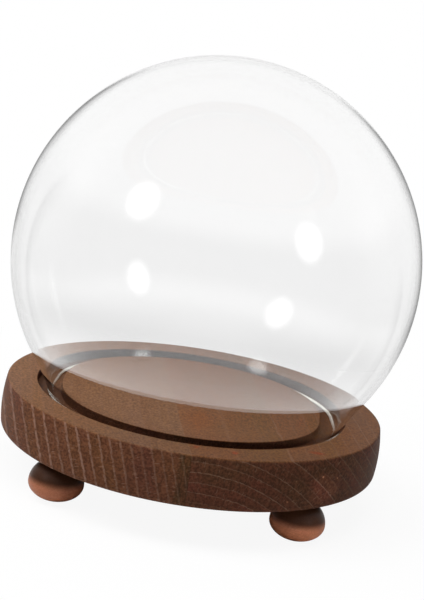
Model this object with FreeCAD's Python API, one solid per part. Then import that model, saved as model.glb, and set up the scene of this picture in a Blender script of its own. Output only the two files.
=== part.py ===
# Clear glass globe standing in the ring groove of a round hardwood plinth on four bun feet.
# Millimetres. The origin is on the floor under the middle of the plinth; +Z is up, -Y the front.
import FreeCAD, Part
import math
import os

from FreeCAD import Vector

# Glass globe, open at the bottom
globe_radius = 75.0            # outside of the blown sphere
globe_wall = 1.8
mouth_radius = 55.0            # outside of the ground rim
neck_height = 16.0             # from the rim up to where the true sphere begins
neck_stretch = 4.4             # how much the neck hangs below the sphere's own section of mouth_radius
neck_lean = 0.30               # how fast the neck opens upwards at the rim, radius per height
rim_ease = 0.45                # polished round on both edges of the rim

# Ring groove that the rim stands in, with the display plateau inside it
groove_depth = 3.5
groove_gap_outside = 3.0       # from the rim out to the groove's outer wall
groove_gap_inside = 4.4        # from the rim in to the plateau
groove_shift = 1.1             # the groove is turned this far off the plinth's middle, towards -X

# Plinth, turned from two boards glued edge to edge
ledge_width = 12.0             # flat ring left outside the groove
plinth_thickness = 18.6
plinth_swell = 1.0             # how far the barrelled side stands out at half height
plinth_flare = 0.3             # how much wider the underside is than the top
top_edge_ease = 0.7
bottom_edge_round = 2.6
groove_edge_ease = 0.3
seam_offset = 8.3              # where the glue line crosses the X axis, towards -X
seam_angle = 8.4               # glue line's turn away from the Y axis, in degrees

# Bun feet and the hidden dowels that hold them
foot_radius = 9.9
foot_height = 14.3
foot_widest_height = 6.1       # the bun is widest below its middle
foot_seat_radius = 4.0         # flat against the plinth
foot_flat_radius = 2.5         # flat it stands on
foot_inset = 9.3               # from the plinth's top edge in to the foot's axis
foot_angle = -45.9             # place of the front right foot about the Z axis, in degrees
foot_places = ("front_right", "back_right", "back_left", "front_left")    # 90 degrees apart
dowel_radius = 3.0
dowel_in_foot = 8.0
dowel_in_plinth = 10.0
dowel_chamfer = 0.5
glue_gap = 0.05                # radial room for glue around a dowel
dowel_end_gap = 0.5            # room above the dowel in the plinth

# Worked out from the sizes above
underside_z = foot_height
top_z = underside_z + plinth_thickness
rim_z = top_z - groove_depth
rim_width = globe_wall * math.hypot(1.0, neck_lean)
globe_centre_z = rim_z + math.sqrt(globe_radius ** 2 - mouth_radius ** 2) + neck_stretch
groove_outer_radius = mouth_radius + groove_gap_outside
plateau_radius = mouth_radius - rim_width - groove_gap_inside
plinth_radius = groove_outer_radius + ledge_width
foot_circle_radius = plinth_radius - foot_inset
foot_turns = {place: foot_angle + 90.0 * step for step, place in enumerate(foot_places)}

up = Vector(0, 0, 1)
match_gap = 1e-4               # edges this close to a stated circle are that circle


def point(radius, height):
    return Vector(radius, 0, height)


def line(start, end):
    return Part.makeLine(start, end)


def bezier(*poles):
    curve = Part.BezierCurve()
    curve.setPoles(list(poles))
    return curve.toShape()


def ellipse_arc(half_width, half_height, centre_height, from_turn, to_turn):
    """Edge along an ellipse around the Z axis, between two angles above its widest place."""
    reach = 4.0 / 3.0 * math.tan((to_turn - from_turn) / 4.0)

    def on(turn):
        return point(half_width * math.cos(turn), centre_height + half_height * math.sin(turn))

    def along(turn):
        return Vector(-half_width * math.sin(turn), 0, half_height * math.cos(turn))

    return bezier(on(from_turn), on(from_turn) + along(from_turn) * reach,
                  on(to_turn) - along(to_turn) * reach, on(to_turn))


def turned(edges):
    """Solid of revolution about the Z axis from a closed half section."""
    section = Part.Face(Part.Wire(edges))
    return section.revolve(Vector(0, 0, 0), up, 360)


def ring_edges(solid, radius, height, centre_x=0.0):
    """The solid's circular edges of one radius at one height."""
    found = []
    for edge in solid.Edges:
        if edge.Degenerated or not isinstance(edge.Curve, Part.Circle):
            continue
        off_centre = (edge.Curve.Center - Vector(centre_x, 0, height)).Length
        if abs(edge.Curve.Radius - radius) < match_gap and off_centre < match_gap:
            found.append(edge)
    return found


def neck_side(sphere_radius, rim_radius):
    """Upper end and edge of one side of the neck, easing from the sphere into the rim."""
    drop = globe_centre_z - (rim_z + neck_height)
    shrink = sphere_radius / globe_radius
    top_radius = math.sqrt(globe_radius ** 2 - drop ** 2) * shrink
    top = point(top_radius, globe_centre_z - drop * shrink)
    third = (top.z - rim_z) / 3.0
    slope = drop * shrink / top_radius
    foot = point(rim_radius, rim_z)
    edge = bezier(top, top - Vector(slope * third, 0, third), foot + Vector(neck_lean * third, 0, third), foot)
    return top, edge


def sphere_side(sphere_radius, lower_end):
    """Arc from the crown of a sphere down to the neck."""
    turn = (math.pi / 2.0 + math.atan2(lower_end.z - globe_centre_z, lower_end.x)) / 2.0
    crown = point(0, globe_centre_z + sphere_radius)
    middle = point(sphere_radius * math.cos(turn), globe_centre_z + sphere_radius * math.sin(turn))
    return crown, Part.Arc(crown, middle, lower_end).toShape()


def make_globe():
    inner_radius = globe_radius - globe_wall
    inner_rim_radius = mouth_radius - rim_width
    outer_top, outer_neck = neck_side(globe_radius, mouth_radius)
    inner_top, inner_neck = neck_side(inner_radius, inner_rim_radius)
    outer_crown, outer_arc = sphere_side(globe_radius, outer_top)
    inner_crown, inner_arc = sphere_side(inner_radius, inner_top)
    rim = line(point(mouth_radius, rim_z), point(inner_rim_radius, rim_z))
    globe = turned([outer_arc, outer_neck, rim, inner_neck, inner_arc, line(inner_crown, outer_crown)])
    rim_edges = ring_edges(globe, mouth_radius, rim_z) + ring_edges(globe, inner_rim_radius, rim_z)
    return globe.makeFillet(rim_ease, rim_edges)


def make_plinth_blank():
    """The whole turned plinth, before it is split along the glue line."""
    under_radius = plinth_radius + plinth_flare
    side = Part.Arc(point(under_radius, underside_z),
                    point(plinth_radius + plinth_swell, underside_z + plinth_thickness / 2.0),
                    point(plinth_radius, top_z)).toShape()
    blank = turned([line(point(0, underside_z), point(under_radius, underside_z)), side,
                    line(point(plinth_radius, top_z), point(0, top_z)),
                    line(point(0, top_z), point(0, underside_z))])
    blank = blank.makeFillet(bottom_edge_round, ring_edges(blank, under_radius, underside_z))
    return blank.makeFillet(top_edge_ease, ring_edges(blank, plinth_radius, top_z))


def cut_groove(plinth):
    floor_centre = Vector(-groove_shift, 0, rim_z)
    ring = Part.makeCylinder(groove_outer_radius, groove_depth * 2.0, floor_centre)
    ring = ring.cut(Part.makeCylinder(plateau_radius, groove_depth * 2.0, floor_centre))
    grooved = plinth.cut(ring)
    lips = ring_edges(grooved, groove_outer_radius, top_z, -groove_shift)
    lips += ring_edges(grooved, plateau_radius, top_z, -groove_shift)
    return grooved.makeFillet(groove_edge_ease, lips)


def foot_axis(turn):
    angle = math.radians(turn)
    return Vector(foot_circle_radius * math.cos(angle), foot_circle_radius * math.sin(angle), 0)


def dowel_hole(turn, from_z, to_z):
    return Part.makeCylinder(dowel_radius + glue_gap, to_z - from_z, foot_axis(turn) + up * from_z)


def make_plinth():
    plinth = cut_groove(make_plinth_blank())
    for turn in foot_turns.values():
        plinth = plinth.cut(dowel_hole(turn, underside_z, underside_z + dowel_in_plinth + dowel_end_gap))
    return plinth


def split_boards(plinth):
    """The two boards, either side of the glue line."""
    reach = 3.0 * plinth_radius
    on_seam = Vector(-seam_offset, 0, 0)
    half = Part.makeBox(reach, 2.0 * reach, 2.0 * top_z, on_seam - Vector(reach, reach, 0))
    half.rotate(on_seam, up, seam_angle)
    return plinth.common(half), plinth.cut(half)


def make_foot(turn):
    flat_turn = math.acos(foot_flat_radius / foot_radius)
    seat_turn = math.acos(foot_seat_radius / foot_radius)
    lower_height = foot_widest_height / math.sin(flat_turn)
    upper_height = (foot_height - foot_widest_height) / math.sin(seat_turn)
    lower = ellipse_arc(foot_radius, lower_height, foot_widest_height, -flat_turn, 0.0)
    upper = ellipse_arc(foot_radius, upper_height, foot_widest_height, 0.0, seat_turn)
    bun = turned([line(point(0, 0), point(foot_flat_radius, 0)), lower, upper,
                  line(point(foot_seat_radius, foot_height), point(0, foot_height)),
                  line(point(0, foot_height), point(0, 0))])
    bun.translate(foot_axis(turn))
    return bun.cut(dowel_hole(turn, foot_height - dowel_in_foot, foot_height))


def make_dowel(turn):
    length = dowel_in_foot + dowel_in_plinth
    dowel = Part.makeCylinder(dowel_radius, length, foot_axis(turn) + up * (foot_height - dowel_in_foot))
    ends = [edge for edge in dowel.Edges if isinstance(edge.Curve, Part.Circle)]
    return dowel.makeChamfer(dowel_chamfer, ends)


def make_nodes():
    board_left, board_right = split_boards(make_plinth())
    nodes = {"glass_globe": make_globe(), "base_board_left": board_left, "base_board_right": board_right}
    for place, turn in foot_turns.items():
        nodes["bun_foot_" + place] = make_foot(turn)
        nodes["foot_dowel_" + place] = make_dowel(turn)
    return nodes


os.makedirs("parts", exist_ok=True)
for name, shape in make_nodes().items():
    shape.exportStep("parts/" + name + ".step")
    box = shape.BoundBox
    print("%-26s %9.1f mm3  solids %d  z %.2f to %.2f" % (name, shape.Volume, len(shape.Solids), box.ZMin, box.ZMax))
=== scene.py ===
import math

import bmesh
import bpy
from mathutils import Matrix, Vector


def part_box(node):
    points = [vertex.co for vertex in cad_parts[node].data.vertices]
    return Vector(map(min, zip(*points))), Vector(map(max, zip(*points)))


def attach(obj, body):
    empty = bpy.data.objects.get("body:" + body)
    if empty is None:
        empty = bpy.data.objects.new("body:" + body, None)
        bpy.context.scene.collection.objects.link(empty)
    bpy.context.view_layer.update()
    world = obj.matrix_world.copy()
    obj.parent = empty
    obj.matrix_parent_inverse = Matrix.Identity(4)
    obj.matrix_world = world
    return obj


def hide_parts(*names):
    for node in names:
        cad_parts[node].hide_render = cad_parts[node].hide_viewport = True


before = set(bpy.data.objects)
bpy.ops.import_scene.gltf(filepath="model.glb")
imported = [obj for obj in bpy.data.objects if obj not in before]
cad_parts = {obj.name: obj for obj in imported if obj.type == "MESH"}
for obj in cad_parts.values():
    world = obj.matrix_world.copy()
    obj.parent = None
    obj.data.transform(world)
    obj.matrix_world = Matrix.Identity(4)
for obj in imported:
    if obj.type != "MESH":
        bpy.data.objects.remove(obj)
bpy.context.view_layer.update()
mm = 0.001

globeLow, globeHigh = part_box("glass_globe")
globeRadius = (globeHigh.x - globeLow.x) / 2
globeCentre = Vector((0, 0, globeHigh.z - globeRadius))
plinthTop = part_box("base_board_right")[1].z
print("frame loaded: globe radius %.1f mm, plinth top at %.1f mm" % (globeRadius / mm, plinthTop / mm))


class Wire:  # a socket on its way through a node tree; sums on it add Math nodes
    def __init__(self, tree, socket=None):
        self.tree = tree
        self.socket = socket

    def node(self, kind, settings=None, values=None, out=0):
        made = self.tree.nodes.new(kind)
        for name, value in (settings or {}).items():
            if name == "stops":
                fillRamp(made.color_ramp, value)
            else:
                setattr(made, name, value)
        for name, value in (values or {}).items():
            if isinstance(value, Wire):
                self.tree.links.new(value.socket, made.inputs[name])
            else:
                made.inputs[name].default_value = value
        return Wire(self.tree, made.outputs[out] if len(made.outputs) else None)

    def other(self, out):  # another output of the same node
        return Wire(self.tree, self.socket.node.outputs[out])

    def sum(self, operation, first, second=0.0):
        return self.node("ShaderNodeMath", {"operation": operation}, {0: first, 1: second})

    def __add__(self, other):
        return self.sum("ADD", self, other)

    def __radd__(self, other):
        return self.sum("ADD", other, self)

    def __sub__(self, other):
        return self.sum("SUBTRACT", self, other)

    def __rsub__(self, other):
        return self.sum("SUBTRACT", other, self)

    def __mul__(self, other):
        return self.sum("MULTIPLY", self, other)

    def __rmul__(self, other):
        return self.sum("MULTIPLY", other, self)

    def __truediv__(self, other):
        return self.sum("DIVIDE", self, other)

    def __rtruediv__(self, other):
        return self.sum("DIVIDE", other, self)

    def __abs__(self):
        return self.sum("ABSOLUTE", self)

    def floor(self):
        return self.sum("FLOOR", self)

    def above(self, level):  # 1 where it is above the level, and 0 elsewhere
        return self.sum("GREATER_THAN", self, level)

    def eased(self, start, end, low=0.0, high=1.0):  # smooth step between two levels
        return self.node("ShaderNodeMapRange", {"interpolation_type": "SMOOTHSTEP"}, {
            "Value": self, "From Min": start, "From Max": end, "To Min": low, "To Max": high})

    def along(self, axis):  # one coordinate of a place
        return self.node("ShaderNodeSeparateXYZ", {}, {0: self}, out=axis)

    def vector(self, operation, other):
        return self.node("ShaderNodeVectorMath", {"operation": operation}, {0: self, 1: other})

    def dot(self, direction):
        return self.vector("DOT_PRODUCT", direction).other("Value")

    def length(self):
        return self.node("ShaderNodeVectorMath", {"operation": "LENGTH"}, {0: self}, out="Value")

    def offAxis(self):  # distance from the upright line through the middle
        return self.vector("MULTIPLY", (1.0, 1.0, 0.0)).length()

    def scaled(self, amount):
        return self.node("ShaderNodeVectorMath", {"operation": "SCALE"}, {0: self, "Scale": amount})

    def noise(self, scale, detail, roughness=0.5):
        return self.node("ShaderNodeTexNoise", {}, {
            "Vector": self, "Scale": scale, "Detail": detail, "Roughness": roughness}, out="Fac")


def fillRamp(ramp, stops):
    while len(ramp.elements) < len(stops):
        ramp.elements.new(0.5)
    for element, (position, colour) in zip(ramp.elements, stops):
        element.position = position
        element.color = (*colour, 1.0)


def blendColour(factor, low, high, kind="MIX"):
    start = next(w for w in (factor, low, high) if isinstance(w, Wire))
    low, high = [c if isinstance(c, Wire) else (*c, 1.0) for c in (low, high)]
    settings = {"data_type": "RGBA", "blend_type": kind}
    return start.node("ShaderNodeMix", settings, {0: factor, 6: low, 7: high}, out=2)


def placeOf(wire, x, y, z):
    return wire.node("ShaderNodeCombineXYZ", {}, {"X": x, "Y": y, "Z": z})


def newMaterial(name):
    material = bpy.data.materials.new(name)
    material.use_nodes = True
    material.node_tree.nodes.clear()
    return material, Wire(material.node_tree)


def finishMaterial(wire, surface, volume=None):
    values = {"Surface": surface}
    if volume is not None:
        values["Volume"] = volume
    wire.node("ShaderNodeOutputMaterial", {}, values)


view = {
    "place": (0.0, -0.5758, 0.2005),
    "aim": (0.0006, 0.0, 0.0703),
    "lean": 9.0,                # degrees the camera is rolled, so that the object leans to the right
    "lens": 96.0,
    "sensor": 36.0,
    "nearest": 0.01,
    "furthest": 50.0,
}


def placeCamera():
    data = bpy.data.cameras.new("viewCamera")
    data.lens = view["lens"]
    data.sensor_width = view["sensor"]
    data.clip_start = view["nearest"]
    data.clip_end = view["furthest"]
    camera = bpy.data.objects.new("viewCamera", data)
    forward = (Vector(view["aim"]) - Vector(view["place"])).normalized()
    turn = forward.to_track_quat("-Z", "Y").to_matrix().to_4x4()
    lean = Matrix.Rotation(math.radians(view["lean"]), 4, "Z")
    camera.matrix_world = Matrix.Translation(view["place"]) @ turn @ lean
    bpy.context.scene.collection.objects.link(camera)
    bpy.context.scene.camera = camera


placeCamera()
print("camera placed")


white = (1.0, 1.0, 1.0, 1.0)
studio = {                      # four numbers in a row are a fade's start and end, and its level at each
    "floorHalf": 6.0,
    "bounceTone": 0.86,         # floor's colour for the light that it throws back
    "seenTone": 0.95,           # and where its shadow shows
    "paperGrain": (900.0, 3.0),
    "paperUneven": 0.02,
    "shadowShare": (0.06, 0.20, 0.08, 0.0),     # how much of the floor's look is real light and shadow
    "tableFront": (0.06, 0.19, 3.0, 1.0),       # painted reflection of a lit table: the floor glows this bright before the object, as the glass mirrors it
    "tableRight": (0.04, 0.12, 1.0, 0.6),       # duller to the right
    "tableLeft": (-0.10, -0.03, 0.75, 1.0),     # and to the left
    "tableBack": 0.86,          # behind the object
    "tableTurn": (-0.06, 0.06),                 # where the front's level gives way to the back's
    "tableReach": (0.17, 0.40, 1.0, 0.0),       # and the table to the room
    "tableInside": 0.14,        # as the far wall of the globe mirrors it
    "insideReach": (-0.02, 0.14, 1.0, 0.0),
    "insideFrom": 2.5,          # a ray comes from the far wall when it has passed more faces than this
    "tableThrough": 0.76,       # painted shade: the floor is this dark as it shows through the globe
    "throughReach": (0.20, 0.31, 1.0, 0.0),
    "worldLevel": 0.06,         # light from all round
    "roomRadius": 3.0,          # room round the studio, met only by reflections
    "roomRings": (64, 32),
    "roomStops": ((0.0, 0.12), (0.45, 0.22), (0.70, 0.62), (0.90, 0.90), (1.0, 0.97)),    # front to back
    "roomCeiling": 0.97,
    "ceilingFrom": (0.06, 0.30),
    "ceilingRise": 0.28,        # it begins this much higher in front
    "edgeStart": 0.08,          # the white backdrop's half width where it meets the object
    "edgeWiden": 0.11,          # and how fast it widens
    "edgeBack": (0.17, 0.38),   # its edges show this far behind the object
    "edgeSkew": 0.6,            # and sooner at the right
    "edgeEye": 0.1,             # angles past an edge are taken from this far in front of the object
    "edgeShift": 0.1,           # keeps the first stop clear of the ramp's end
    "edgeStops": ((0.15, 1.0), (0.20, 0.29), (0.23, 0.30), (0.28, 0.46), (0.33, 0.60), (0.38, 0.70),
                  (0.45, 0.84), (0.52, 0.94), (0.60, 1.0)),
    "key": {"turn": -75.0, "rise": 48.0, "away": 1.0, "width": 0.6, "height": 0.6, "watts": 7.6},
    "overhead": {"turn": 10.0, "rise": 78.0, "away": 1.1, "width": 0.7, "height": 0.7, "watts": 6.6},
    "leftBox": {"turn": -52.0, "rise": 30.9, "away": 2.0, "width": 0.78, "height": 0.86, "watts": 7.6,
                "roll": 8.0},
    "rightBox": {"turn": 52.3, "rise": 22.8, "away": 2.0, "width": 0.70, "height": 0.88, "watts": 6.8},
    "boxFade": (0.2, 1.0, 1.0, 0.0),            # a box is bright in the middle and fades at its edge
}


def stageMaterial(name, buildSurface):
    material, wire = newMaterial(name)
    finishMaterial(wire, buildSurface(wire))
    return material


def seenWhite(wire):  # 1 for the rays that show the background itself
    path = wire.node("ShaderNodeLightPath", out="Is Camera Ray")
    seen = wire.sum("MAXIMUM", path, path.other("Is Glossy Ray"))
    return wire.sum("MAXIMUM", seen, path.other("Is Transmission Ray"))


def greyRamp(wire, place, stops):
    greys = [(position, (level,) * 3) for position, level in stops]
    return wire.node("ShaderNodeValToRGB", {"stops": greys}, {"Fac": place}, out="Color")


def roundRoom(wire, spot):  # how bright the room is in one direction from the middle
    return greyRamp(wire, 0.5 + 0.5 * spot.along("Y") / spot.offAxis(), studio["roomStops"])


def besideBackdrop(wire, spot):  # dims what stands on either side of the backdrop behind the object
    sideways, depth = spot.along("X"), spot.along("Y")
    past = abs(sideways) - depth * studio["edgeWiden"] - studio["edgeStart"]
    angle = past / (wire.sum("MAXIMUM", depth, 0.0) + studio["edgeEye"])
    dim = greyRamp(wire, angle + studio["edgeShift"], studio["edgeStops"])
    behind = (depth + sideways * studio["edgeSkew"]).eased(*studio["edgeBack"])
    return blendColour(behind, white[:3], dim)


def mirroredTable(wire, spot, passed):  # what the glass mirrors where it meets the floor: a painted glow, not the floor's own light
    away, sideways, depth = spot.length(), spot.along("X"), spot.along("Y")
    front = away.eased(*studio["tableFront"])
    front = front * sideways.eased(*studio["tableRight"]) * sideways.eased(*studio["tableLeft"])
    near = front + depth.eased(*studio["tableTurn"]) * (studio["tableBack"] - front)
    inside = passed.above(studio["insideFrom"]) * depth.eased(*studio["insideReach"])
    near = near + inside * (studio["tableInside"] - near)
    mirror = blendColour(away.eased(*studio["tableReach"]), roundRoom(wire, spot), near)
    return blendColour(1.0, mirror, besideBackdrop(wire, spot), "MULTIPLY")


def floorSurface(wire):
    spot = wire.node("ShaderNodeTexCoord", out="Object")
    away, seen = spot.length(), seenWhite(wire)
    uneven = (spot.noise(*studio["paperGrain"]) - 0.5) * studio["paperUneven"]
    tone = studio["bounceTone"] + seen * (studio["seenTone"] - studio["bounceTone"]) + uneven
    paper = wire.node("ShaderNodeBsdfDiffuse", {}, {"Color": tone})
    path = wire.node("ShaderNodeLightPath", out="Glossy Depth")
    passed, sharp = path.other("Transmission Depth"), path.other("Is Singular Ray")
    through = passed.above(0.5) * away.eased(*studio["throughReach"])
    plain = 1 - through * (1 - studio["tableThrough"])
    level = blendColour(path.above(0.5) * sharp, plain, mirroredTable(wire, spot, passed))
    glow = wire.node("ShaderNodeEmission", {}, {"Color": level, "Strength": 1.0})
    rough = path.other("Is Glossy Ray") * (1 - sharp)
    shown = seen * (1 - rough) * (1 - away.eased(*studio["shadowShare"]))
    return wire.node("ShaderNodeMixShader", {}, {0: shown, 1: paper, 2: glow})


def makeFloor():
    half = studio["floorHalf"]
    corners = [(-half, -half, 0), (half, -half, 0), (half, half, 0), (-half, half, 0)]
    mesh = bpy.data.meshes.new("floor")
    mesh.from_pydata(corners, [], [(0, 1, 2, 3)])
    floor = bpy.data.objects.new("floor", mesh)
    mesh.materials.append(stageMaterial("paperFloor", floorSurface))
    bpy.context.scene.collection.objects.link(floor)


def lightWorld():
    world = bpy.data.worlds.new("studioWorld")
    bpy.context.scene.world = world
    world.use_nodes = True
    world.node_tree.nodes.clear()
    wire = Wire(world.node_tree)
    soft = wire.node("ShaderNodeBackground", {}, {"Color": white, "Strength": studio["worldLevel"]})
    full = wire.node("ShaderNodeBackground", {}, {"Color": white, "Strength": 1.0})
    both = wire.node("ShaderNodeMixShader", {}, {0: seenWhite(wire), 1: soft, 2: full})
    wire.node("ShaderNodeOutputWorld", {}, {"Surface": both})


def roundAbout(turn, rise, away):  # a place around the globe; turn 0 is in front, positive to the right
    turn, rise = math.radians(turn), math.radians(rise)
    out = Vector((math.sin(turn) * math.cos(rise), -math.cos(turn) * math.cos(rise), math.sin(rise)))
    return globeCentre + out * away


def addLamp(name, shape, inGlassOnly):
    box = studio[name]
    data = bpy.data.lights.new(name, "AREA")
    data.shape = shape
    data.size, data.size_y = box["width"], box["height"]
    data.energy = box["watts"]
    lamp = bpy.data.objects.new(name, data)
    place = roundAbout(box["turn"], box["rise"], box["away"])
    turn = (globeCentre - place).to_track_quat("-Z", "Y").to_matrix().to_4x4()
    roll = Matrix.Rotation(math.radians(box.get("roll", 0.0)), 4, "Z")
    lamp.matrix_world = Matrix.Translation(place) @ turn @ roll
    lamp.visible_camera = False
    lamp.visible_diffuse = not inGlassOnly
    lamp.visible_glossy = inGlassOnly
    lamp.visible_transmission = inGlassOnly
    bpy.context.scene.collection.objects.link(lamp)
    return data


def softenLamp(data):
    data.use_nodes = True
    data.node_tree.nodes.clear()
    wire = Wire(data.node_tree)
    spot = wire.node("ShaderNodeNewGeometry", out="Parametric")
    away = spot.vector("SUBTRACT", (0.5, 0.5, 0.0)).vector("MULTIPLY", (2.0, 2.0, 0.0)).length()
    level = away.eased(*studio["boxFade"])
    glow = wire.node("ShaderNodeEmission", {}, {"Color": white, "Strength": level})
    wire.node("ShaderNodeOutputLight", {}, {"Surface": glow})


def roomSurface(wire):
    spot = wire.node("ShaderNodeTexCoord", out="Object")
    level = blendColour(1.0, roundRoom(wire, spot), besideBackdrop(wire, spot), "MULTIPLY")
    back = 0.5 + 0.5 * spot.along("Y") / studio["roomRadius"]
    height = spot.along("Z") / studio["roomRadius"] - studio["ceilingRise"] * (1 - back)
    colour = blendColour(height.eased(*studio["ceilingFrom"]), level, (studio["roomCeiling"],) * 3)
    wall = wire.node("ShaderNodeEmission", {}, {"Color": colour, "Strength": 1.0})
    clear = wire.node("ShaderNodeBsdfTransparent", {}, {"Color": white})
    met = wire.node("ShaderNodeLightPath", out="Glossy Depth").above(0.5)
    return wire.node("ShaderNodeMixShader", {}, {0: met, 1: clear, 2: wall})


def makeRoom():  # a dome that only reflections see
    mesh = bpy.data.meshes.new("room")
    shape = bmesh.new()
    around, upward = studio["roomRings"]
    bmesh.ops.create_uvsphere(shape, u_segments=around, v_segments=upward, radius=studio["roomRadius"])
    shape.to_mesh(mesh)
    shape.free()
    room = bpy.data.objects.new("room", mesh)
    mesh.materials.append(stageMaterial("roomWall", roomSurface))
    bpy.context.scene.collection.objects.link(room)
    for rays in ("camera", "diffuse", "shadow", "volume_scatter"):
        setattr(room, "visible_" + rays, False)


makeFloor()
lightWorld()
for side in ("key", "overhead"):
    addLamp(side, "RECTANGLE", False)
for side in ("leftBox", "rightBox"):
    softenLamp(addLamp(side, "ELLIPSE", True))
makeRoom()
print("studio set")


glass = {
    "wall": 1.8 * mm,
    "mouthRadius": 55.0 * mm,
    "neckHeight": 16.0 * mm,
    "neckLean": 0.30,
    "rimEase": 0.45 * mm,
    "rimClear": 0.03 * mm,      # the rim stands this far off the groove's floor
    "ior": 1.5,
    "absorbPerMetre": 0.6,
    "groundRoughness": 0.35,    # of the rim's flat face
    "groundLevels": (0.35 * mm, 0.15 * mm),     # above the groove's floor
    # pale rim edges: partly ground glass, partly painted glint
    "frostGlintDark": (0.72, 0.72, 0.66),
    "frostGlintLight": (0.86, 0.85, 0.78),
    "frostGrit": (2500.0, 1.0),
    "gritLevels": (0.35, 0.65),
    "frostRoughness": 0.7,
    "turns": 224,
    "arcSteps": 84,
    "neckSteps": 18,
    "easeSteps": 4,
    "weld": 0.001 * mm,
}
rimZ = globeLow.z + glass["rimClear"]
rimInside = glass["mouthRadius"] - glass["wall"] * math.hypot(1.0, glass["neckLean"])


def bezierPoint(poles, t):
    s = 1 - t
    shares = (s ** 3, 3 * s * s * t, 3 * s * t * t, t ** 3)
    return tuple(sum(share * pole[axis] for share, pole in zip(shares, poles)) for axis in (0, 1))


def glassSide(radius, rimRadius):  # crown to rim along one side of the wall, as (radius, height)
    centre = globeCentre.z
    shrink = radius / globeRadius
    drop = centre - (rimZ + glass["neckHeight"])
    topRadius = math.sqrt(globeRadius ** 2 - drop ** 2) * shrink
    top = (topRadius, centre - drop * shrink)
    last = math.atan2(top[1] - centre, top[0])
    side = []
    for i in range(glass["arcSteps"] + 1):
        turn = math.pi / 2 + (last - math.pi / 2) * i / glass["arcSteps"]
        side.append((radius * math.cos(turn) if i else 0.0, centre + radius * math.sin(turn)))
    third = (top[1] - rimZ) / 3
    slope = drop * shrink / topRadius
    upperPull = (top[0] - slope * third, top[1] - third)
    lowerPull = (rimRadius + glass["neckLean"] * third, rimZ + third)
    for i in range(1, glass["neckSteps"] + 1):
        side.append(bezierPoint((top, upperPull, lowerPull, (rimRadius, rimZ)), i / glass["neckSteps"]))
    return side


def easeCorner(before, corner, after):  # points of a small round in place of a sharp corner
    middle = Vector(corner)
    start = middle + (Vector(before) - middle).normalized() * glass["rimEase"]
    end = middle + (Vector(after) - middle).normalized() * glass["rimEase"]
    made = []
    for i in range(glass["easeSteps"] + 1):
        t = i / glass["easeSteps"]
        made.append(tuple(start * (1 - t) ** 2 + middle * 2 * t * (1 - t) + end * t ** 2))
    return made


def glassSection():
    outer = glassSide(globeRadius, glass["mouthRadius"])
    inner = glassSide(globeRadius - glass["wall"], rimInside)
    rim = easeCorner(outer[-2], outer[-1], inner[-1]) + easeCorner(outer[-1], inner[-1], inner[-2])
    return outer[:-1] + rim + inner[-2::-1]


def latheTree():
    group = bpy.data.node_groups.new("lathe", "GeometryNodeTree")
    kinds = {"Section": "Geometry", "Turns": "Int", "Weld": "Float", "Finish": "Material"}
    names = {}
    for name, kind in kinds.items():
        made = group.interface.new_socket(name, in_out="INPUT", socket_type="NodeSocket" + kind)
        names[name] = made.identifier
    group.interface.new_socket("Turned", in_out="OUTPUT", socket_type="NodeSocketGeometry")
    wire = Wire(group)
    section = wire.node("NodeGroupInput", out="Section")
    turns = section.other("Turns")
    stations = turns + 1.0
    size = wire.node("GeometryNodeAttributeDomainSize", {"component": "MESH"}, {0: section})
    count = size.other("Point Count")
    grid = wire.node("GeometryNodeMeshGrid", {}, {"Vertices X": count, "Vertices Y": stations}, out="Mesh")
    index = wire.node("GeometryNodeInputIndex")
    step = ((index + 0.5) / stations).floor()
    angle = (index - step * stations) / turns * (2 * math.pi)
    place = wire.node("GeometryNodeInputPosition")
    sample = wire.node("GeometryNodeSampleIndex", {"data_type": "FLOAT_VECTOR", "domain": "POINT"}, {
        "Geometry": section, "Value": place, "Index": step})
    radius, height = sample.along("X"), sample.along("Z")
    spot = placeOf(wire, radius * wire.sum("COSINE", angle), radius * wire.sum("SINE", angle), height)
    moved = wire.node("GeometryNodeSetPosition", {}, {"Geometry": grid, "Position": spot})
    weld = section.other("Weld")
    closed = wire.node("GeometryNodeMergeByDistance", {}, {"Geometry": moved, "Distance": weld})
    smooth = wire.node("GeometryNodeSetShadeSmooth", {}, {"Geometry": closed})
    real = wire.node("GeometryNodeRealizeInstances", {}, {"Geometry": smooth})
    finish = section.other("Finish")
    done = wire.node("GeometryNodeSetMaterial", {}, {"Geometry": real, "Material": finish})
    wire.node("NodeGroupOutput", {}, {"Turned": done})
    return group, names


def turnOnLathe(name, section, material, turns, weld):
    mesh = bpy.data.meshes.new(name + "Section")
    mesh.from_pydata([(r, 0, z) for r, z in section], [(i, i + 1) for i in range(len(section) - 1)], [])
    source = bpy.data.objects.new(name + "Section", mesh)
    bpy.context.scene.collection.objects.link(source)
    group, names = latheTree()
    lathe = source.modifiers.new("lathe", "NODES")
    lathe.node_group = group
    lathe[names["Turns"]] = turns
    lathe[names["Weld"]] = weld
    lathe[names["Finish"]] = material
    graph = bpy.context.evaluated_depsgraph_get()
    turned = bpy.data.meshes.new_from_object(source.evaluated_get(graph))
    turned.name = name
    turned.materials.clear()
    turned.materials.append(material)
    turned.polygons.foreach_set("material_index", [0] * len(turned.polygons))
    bpy.data.objects.remove(source)
    piece = bpy.data.objects.new(name, turned)
    bpy.context.scene.collection.objects.link(piece)
    return piece


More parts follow.
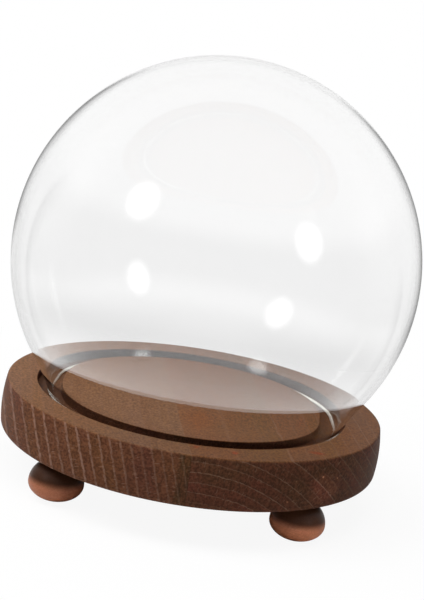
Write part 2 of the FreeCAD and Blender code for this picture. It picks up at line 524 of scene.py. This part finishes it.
def glassFinish():
    material, wire = newMaterial("clearGlass")
    height = wire.node("ShaderNodeTexCoord", out="Object").along("Z")
    ground = height.eased(*[globeLow.z + level for level in glass["groundLevels"]])
    body = wire.node("ShaderNodeBsdfPrincipled", {}, {
        "Base Color": white, "Roughness": ground * glass["groundRoughness"], "IOR": glass["ior"],
        "Transmission Weight": 1.0})
    clear = wire.node("ShaderNodeBsdfTransparent", {}, {"Color": white})
    path = wire.node("ShaderNodeLightPath", out="Is Diffuse Ray")
    bounced = wire.node("ShaderNodeMixShader", {}, {0: path, 1: body, 2: clear})
    surface = wire.node("ShaderNodeMixShader", {}, {0: path.other("Is Shadow Ray"), 1: bounced, 2: clear})
    absorb = wire.node("ShaderNodeVolumeAbsorption", {}, {
        "Color": (0, 0, 0, 1), "Density": glass["absorbPerMetre"]})
    finishMaterial(wire, surface, absorb)
    return material


def frostAndGlintFinish():
    material, wire = newMaterial("groundGlassAndGlint")
    grit = wire.node("ShaderNodeTexCoord", out="Object").noise(*glass["frostGrit"])
    tone = blendColour(grit.eased(*glass["gritLevels"]), glass["frostGlintDark"], glass["frostGlintLight"])
    surface = wire.node("ShaderNodeBsdfPrincipled", {}, {
        "Base Color": tone, "Roughness": glass["frostRoughness"]})
    finishMaterial(wire, surface)
    return material


def frostAndGlintRimEdges(piece):  # both edges of the rim are ground, and scatter the light; their pale colour is partly painted glint, the rim's bright lines
    piece.data.materials.append(frostAndGlintFinish())
    ease = glass["rimEase"]
    for face in piece.data.polygons:
        away = math.hypot(face.center.x, face.center.y)
        onFlat = rimInside + ease < away < glass["mouthRadius"] - ease
        if face.center.z < rimZ + ease and not onFlat:
            face.material_index = 1


globe = turnOnLathe("glassGlobe", glassSection(), glassFinish(), glass["turns"], glass["weld"])
frostAndGlintRimEdges(globe)
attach(globe, "globe")
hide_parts("glass_globe")
print("globe turned: %d faces" % len(globe.data.polygons))


plinth = {
    "acrossGrain": (0.989, 0.148, 0.0),
    "alongGrain": (-0.148, 0.989, 0.0),
    "grooveX": -1.1 * mm,
    "grooveOut": (58.4 * mm, 58.9 * mm, 1.0, 0.0),
    "grooveLip": (0.02 * mm, 0.25 * mm),        # depths between which its painted shade comes in
    "grooveFloor": (3.8 * mm, 4.4 * mm, 1.0, 0.0),
    # painted shade: the wood in the groove is darkened by this much
    "paintedGrooveShade": (0.42, 0.38, 0.40),
    "seamX": -8.3 * mm,
    "seamStripe": ((-4.6 * mm, -3.6 * mm), (-0.1 * mm, 0.1 * mm, 1.0, 0.0)),    # beside it, on the side
    "seamStreaks": (1900.0, 160.0, 2.0),        # fineness across and upwards, and detail
    "streakLevels": (0.35, 0.62, 0.35, 1.0),
    "seamTint": (0.58, 0.68, 0.60),
}
wood = {                        # what the two boards have in common
    "wander": (90.0, 4.0, 2.0),                 # fineness, stretch along the grain, and detail
    "wobble": (700.0, 6.0, 1.0),
    "speckle": (1250.0, 1.5, 2.0),
    "mottle": (420.0, 1.2, 3.0),
    "patch": (55.0, 2.0, 2.0),
    "gaps": (900.0, 8.0, 2.0),
    "wanderBy": 1.1 * mm,       # how far the rings stray
    "wobbleBy": 0.7 * mm,
    "topFacing": (0.55, 0.9),   # how far up a face looks, to count as the plinth's top; the sides' darker tones are partly end grain, partly painted shade
    "bandShare": 0.8,           # how much of a tone comes from its band, from its patch and from neither
    "patchShare": 1.2,
    "fixedShare": 0.1,
    "bandStart": 41.5,          # the bands draw other chance values than the lines
    "pastLine": (0.05, 0.5, 0.22, 0.0),         # on the side, a band is darkest just past its line
    "pastTint": (0.035, 0.018, 0.010),
    "speckleLight": (0.32, 0.68, 0.68, 1.32),
    "mottleLight": (0.30, 0.70, 0.92, 1.08),
    "paintedTopAcross": (-62 * mm, 45 * mm, 1.12, 0.84),   # painted light and shade: the top is lighter to the left and duller to the right
    "paintedTopFront": (-64 * mm, -46 * mm, 0.88, 1.0),    # and at the very front
    "gapLevels": (0.22, 0.62),
    "gapLeast": 0.12,           # what is left of a pale line in its gaps
    "topLines": (5 * mm, 36 * mm, 0.3, 1.0),    # the lines on the top are fainter to the left
    "lineShare": 0.58,          # how far the strongest line covers the wood
    "ticks": (2200.0, 1.6, 1.0),                # fineness round the rings and outwards, and detail
    "tickLevels": (0.60, 0.74),
    "tickShare": 0.35,
    "markFade": (0.3, 1.0, 1.0, 0.0),
    "gloss": (0.2, 0.8, 0.46, 0.62),
    "bumpStrength": 0.4,
    "bumpDepth": 0.06 * mm,
    "bumpSpeckle": 0.5,
    "bumpLine": 0.15,
    "ior": 1.45,
    "specular": 0.05,
}
leftBoard = {
    "slot": "plinth_wood_left",
    "ringSpacing": 3.86 * mm,   # the outermost; each next one is narrower
    "ringNarrowing": 0.036 * mm,
    "ringLean": 0.30,
    "ringStart": -69.0 * mm,
    "lineHalf": (0.35, 0.445),  # how far from the middle of a ring its pale line begins and is full
    "lineLeast": 0.62,          # the faintest ring's line, beside the strongest
    "lineOnTop": 0.36,
    "lineFade": (-46.0 * mm, -22.0 * mm, 0.0, 0.55),    # on the side, the lines weaken towards the seam
    "top": ((0.163, 0.076, 0.038), (0.178, 0.087, 0.043), (0.170, 0.085, 0.048)),
    "side": ((0.121, 0.045, 0.025), (0.129, 0.052, 0.023), (0.113, 0.041, 0.024)),
    "line": (0.36, 0.21, 0.155),
    "spots": (),
}
rightBoard = {
    "slot": "plinth_wood_right",
    "ringSpacing": 3.5 * mm,
    "ringAxisAcross": -5.6 * mm,
    "ringAxisBelow": 58.0 * mm,
    "lineHalf": (0.42, 0.49),
    "lineLeast": 0.25,
    "lineOnTop": 0.75,
    "top": ((0.154, 0.073, 0.031), (0.175, 0.073, 0.032), (0.156, 0.073, 0.038)),
    "side": ((0.112, 0.035, 0.021), (0.090, 0.038, 0.019), (0.108, 0.034, 0.020)),
    "line": (0.27, 0.16, 0.11),
    "spots": (                  # place and reach in millimetres, and tint, of marks in the wood
        ((2.5, -27.0, 32.9), (8.5, 13.0, 4.0), (1.08, 0.95, 0.84)),
        ((16.3, -60.3, 32.9), (1.6, 2.2, 1.5), (1.35, 0.70, 0.60)),
        ((44.8, -46.2, 32.9), (4.0, 2.0, 1.5), (1.35, 0.72, 0.60)),
        ((3.0, -60.3, 32.9), (1.6, 2.2, 1.5), (1.25, 0.78, 0.66)),
        ((49.0, -51.0, 22.0), (11.0, 9.0, 7.0), (1.65, 1.50, 1.55)),
        ((36.4, -60.6, 18.8), (0.6, 0.6, 0.5), (3.0, 3.2, 3.0)),
        ((47.7, -52.2, 26.7), (0.6, 0.6, 0.5), (3.6, 4.0, 4.0)),
        ((53.0, -46.8, 25.4), (0.6, 0.6, 0.5), (3.0, 3.4, 3.4)),
        ((38.3, -59.4, 26.0), (0.6, 0.6, 0.5), (2.4, 2.6, 2.6)),
    ),
}


def grainNoise(wire, spot, kind):  # squeezed across the grain and drawn out along it
    fine, stretch, detail = wood[kind]
    across, along = spot.dot(plinth["acrossGrain"]), spot.dot(plinth["alongGrain"])
    return placeOf(wire, across * fine, along * (fine / stretch), spot.along("Z") * fine).noise(1.0, detail)


def chance(wire, number):  # a value of its own for each whole number
    return wire.node("ShaderNodeTexWhiteNoise", {"noise_dimensions": "1D"}, {"W": number}, out="Value")


def toneOf(wire, choice, tones):
    stops = [(i / (len(tones) - 1), tone) for i, tone in enumerate(tones)]
    return wire.node("ShaderNodeValToRGB", {"stops": stops}, {"Fac": choice}, out="Color")


def markOf(spot, place, reach):  # 1 in the middle of a mark, fading to its edge
    middle = tuple(c * mm for c in place)
    size = tuple(c * mm for c in reach)
    return spot.vector("SUBTRACT", middle).vector("DIVIDE", size).length().eased(*wood["markFade"])


def inGroove(spot, below):  # 1 on the groove's walls and floor, where painted shade darkens the wood
    inside = spot.vector("SUBTRACT", (plinth["grooveX"], 0.0, 0.0)).offAxis().eased(*plinth["grooveOut"])
    return inside * below.eased(*plinth["grooveLip"]) * below.eased(*plinth["grooveFloor"])


def ringsOf(wire, board, across, up, sway):  # growth rings counted outwards, and the way round them
    if "ringLean" in board:
        depth = across + up * board["ringLean"] - board["ringStart"] + sway
        first, less = board["ringSpacing"], board["ringNarrowing"]
        rings = (first - wire.sum("SQRT", first * first - depth * (2 * less))) / less
        return rings, up - across * board["ringLean"]
    side, below = across - board["ringAxisAcross"], up + board["ringAxisBelow"]
    away = wire.sum("SQRT", side * side + below * below)
    return (away + sway) / board["ringSpacing"], wire.sum("ARCTAN2", side, below) * board["ringAxisBelow"]


def bandColour(wire, board, spot, rings, onTop):  # each band between two lines has a tone of its own
    whole = rings.floor()
    ownTone = chance(wire, whole + wood["bandStart"]) * wood["bandShare"]
    choice = ownTone + (grainNoise(wire, spot, "patch") - 0.5) * wood["patchShare"] + wood["fixedShare"]
    # tops and sides take their own tones: the sides' darker tones are partly end grain, partly painted
    # shade
    colour = blendColour(onTop, toneOf(wire, choice, board["side"]), toneOf(wire, choice, board["top"]))
    return blendColour((rings - whole).eased(*wood["pastLine"]) * (1 - onTop), colour, wood["pastTint"])


def grainAndPaintedLight(wire, spot, speckle, onTop):  # how light or dull the wood's grain is from place to place, with painted light and shade on the top
    mottle = grainNoise(wire, spot, "mottle")
    light = speckle.eased(*wood["speckleLight"]) * mottle.eased(*wood["mottleLight"])
    across = spot.dot(plinth["acrossGrain"]).eased(*wood["paintedTopAcross"])
    return light * ((1 - onTop) + onTop * (across * spot.along("Y").eased(*wood["paintedTopFront"])))


def paleLine(wire, board, spot, rings, onTop):  # strength of the pale line between two bands
    across, onSide = spot.dot(plinth["acrossGrain"]), 1 - onTop
    ownStrength = board["lineLeast"] + (1 - board["lineLeast"]) * chance(wire, (rings + 0.5).floor())
    unbroken = grainNoise(wire, spot, "gaps").eased(*wood["gapLevels"])
    line = abs(rings - rings.floor() - 0.5).eased(*board["lineHalf"])
    line = line * ownStrength * (wood["gapLeast"] + (1 - wood["gapLeast"]) * unbroken)
    if "lineFade" in board:
        line = line * (1 - onSide * across.eased(*board["lineFade"]))
    return line * (onSide + onTop * board["lineOnTop"] * across.eased(*wood["topLines"]))


def seamStripe(wire, across, up):  # a streaky stripe just to the left of the seam
    fromSeam = across - plinth["seamX"] * plinth["acrossGrain"][0]
    begins, ends = plinth["seamStripe"]
    sideways, upward, detail = plinth["seamStreaks"]
    streaks = placeOf(wire, across * sideways, 0.0, up * upward).noise(1.0, detail)
    return fromSeam.eased(*begins) * fromSeam.eased(*ends) * streaks.eased(*plinth["streakLevels"])


def tickMarks(wire, rings, roundRings):  # short pale ticks that cross the bands
    around, outward, detail = wood["ticks"]
    marks = placeOf(wire, roundRings * around, 0.0, rings * outward).noise(1.0, detail)
    return marks.eased(*wood["tickLevels"])


def boardFinish(name, board):
    material, wire = newMaterial(name)
    spot = wire.node("ShaderNodeTexCoord", out="Object")
    across, up = spot.dot(plinth["acrossGrain"]), spot.along("Z") - plinthTop
    onTop = wire.node("ShaderNodeNewGeometry", out="Normal").along("Z").eased(*wood["topFacing"])
    onSide, groove = 1 - onTop, inGroove(spot, 0 - up)
    sway = (grainNoise(wire, spot, "wander") - 0.5) * wood["wanderBy"]
    sway = sway + (grainNoise(wire, spot, "wobble") - 0.5) * wood["wobbleBy"]
    rings, roundRings = ringsOf(wire, board, across, up, sway)
    speckle = grainNoise(wire, spot, "speckle")
    colour = bandColour(wire, board, spot, rings, onTop).scaled(grainAndPaintedLight(wire, spot, speckle, onTop))
    line = paleLine(wire, board, spot, rings, onTop) * (1 - groove)
    colour = blendColour(line * wood["lineShare"], colour, board["line"])
    ticks = tickMarks(wire, rings, roundRings) * onSide
    colour = blendColour(ticks * wood["tickShare"], colour, board["line"])
    for place, reach, tint in board["spots"]:
        colour = blendColour(markOf(spot, place, reach), colour, tint, "MULTIPLY")
    colour = blendColour(seamStripe(wire, across, up) * onSide, colour, plinth["seamTint"], "MULTIPLY")
    # painted shade in the groove
    colour = blendColour(groove, colour, plinth["paintedGrooveShade"], "MULTIPLY")
    height = speckle * wood["bumpSpeckle"] + line * wood["bumpLine"]
    bump = wire.node("ShaderNodeBump", {}, {
        "Strength": wood["bumpStrength"], "Distance": wood["bumpDepth"], "Height": height})
    body = wire.node("ShaderNodeBsdfPrincipled", {}, {
        "Base Color": colour, "Roughness": speckle.eased(*wood["gloss"]), "IOR": wood["ior"],
        "Specular IOR Level": wood["specular"], "Normal": bump})
    finishMaterial(wire, body)
    return material


def coverNode(name, material):
    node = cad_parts[name]
    for place in node.material_slots:
        place.material = material
    if not node.material_slots:
        node.data.materials.append(material)


coverNode("base_board_left", boardFinish("leftBoardWood", leftBoard))
coverNode("base_board_right", boardFinish("rightBoardWood", rightBoard))
print("boards finished")


turnery = {                     # what the feet and the dowels have in common
    "fibreSize": (1 / 260.0, 1 / 2200.0, 1 / 2200.0),   # along the grain, then both ways across it
    "fibreTilt": (0.3, 0.2),
    "fibreNoise": (1.0, 4.0, 0.6),
    "seedStep": (13.0 * mm, 7.0 * mm, 1.1),     # each piece is cut from another place, at another turn
    "patchScale": 160.0,
    "patchDetail": 2.0,
    "fibreLevels": (0.25, 0.75, 0.0, 0.6),
    "patchLevels": (0.3, 0.7, 0.0, 0.4),
    "gloss": (0.2, 0.8, 0.28, 0.42),
    "bumpStrength": 0.4,
    "bumpDepth": 0.05 * mm,
    "ior": 1.45,
    "specular": 0.15,
}
foot = {
    "dark": (0.52, 0.175, 0.085),
    "light": (0.80, 0.31, 0.165),
    "slot": "foot_wood",
    "shade": (0.12, 0.13, 0.13),    # painted shade: the colour is this much darker above the widest place
    "shadeLevels": (6.0 * mm, 9.1 * mm),
    "shadeUneven": 0.8 * mm,
    # painted light and shade: each foot's colour is scaled lighter or darker by its corner
    "paintedLightShade": {"front_left": 0.62, "front_right": 1.08, "back_left": 0.8, "back_right": 0.9},
}
dowel = {
    "dark": (0.42, 0.28, 0.16),
    "light": (0.62, 0.46, 0.29),
    "slot": "dowel_wood",
}


def turnedWood(name, tones, seed, paintedLightShade=1.0):
    material, wire = newMaterial(name)
    spot = wire.node("ShaderNodeTexCoord", out="Object")
    shiftX, shiftY, turn = [seed * step for step in turnery["seedStep"]]
    place = wire.node("ShaderNodeMapping", {"vector_type": "TEXTURE"}, {
        "Vector": spot, "Location": (shiftX, shiftY, 0.0), "Rotation": (*turnery["fibreTilt"], turn),
        "Scale": turnery["fibreSize"]})
    fibre = place.noise(*turnery["fibreNoise"])
    patch = spot.noise(turnery["patchScale"] + seed, turnery["patchDetail"])
    tone = fibre.eased(*turnery["fibreLevels"]) + patch.eased(*turnery["patchLevels"])
    colour = blendColour(tone, tones["dark"], tones["light"])
    # painted shade on a foot above its widest place, with an uneven edge
    if "shade" in tones:
        height = spot.along("Z") + (patch - 0.5) * tones["shadeUneven"]
        shaded = blendColour(1.0, colour, tones["shade"], "MULTIPLY")
        colour = blendColour(height.eased(*tones["shadeLevels"]), colour, shaded)
    bump = wire.node("ShaderNodeBump", {}, {
        "Strength": turnery["bumpStrength"], "Distance": turnery["bumpDepth"], "Height": fibre})
    # the colour is scaled by the foot's painted light and shade
    body = wire.node("ShaderNodeBsdfPrincipled", {}, {
        "Base Color": colour.scaled(paintedLightShade), "Roughness": fibre.eased(*turnery["gloss"]),
        "IOR": turnery["ior"], "Specular IOR Level": turnery["specular"], "Normal": bump})
    finishMaterial(wire, body)
    return material


for number, corner in enumerate(foot["paintedLightShade"], 1):
    footWood = turnedWood("footWood." + corner, foot, number, foot["paintedLightShade"][corner])
    coverNode("bun_foot_" + corner, footWood)
    coverNode("foot_dowel_" + corner, turnedWood("dowelWood." + corner, dowel, number + 4))
print("feet finished")


bpy.context.scene.view_settings.view_transform = "Standard"
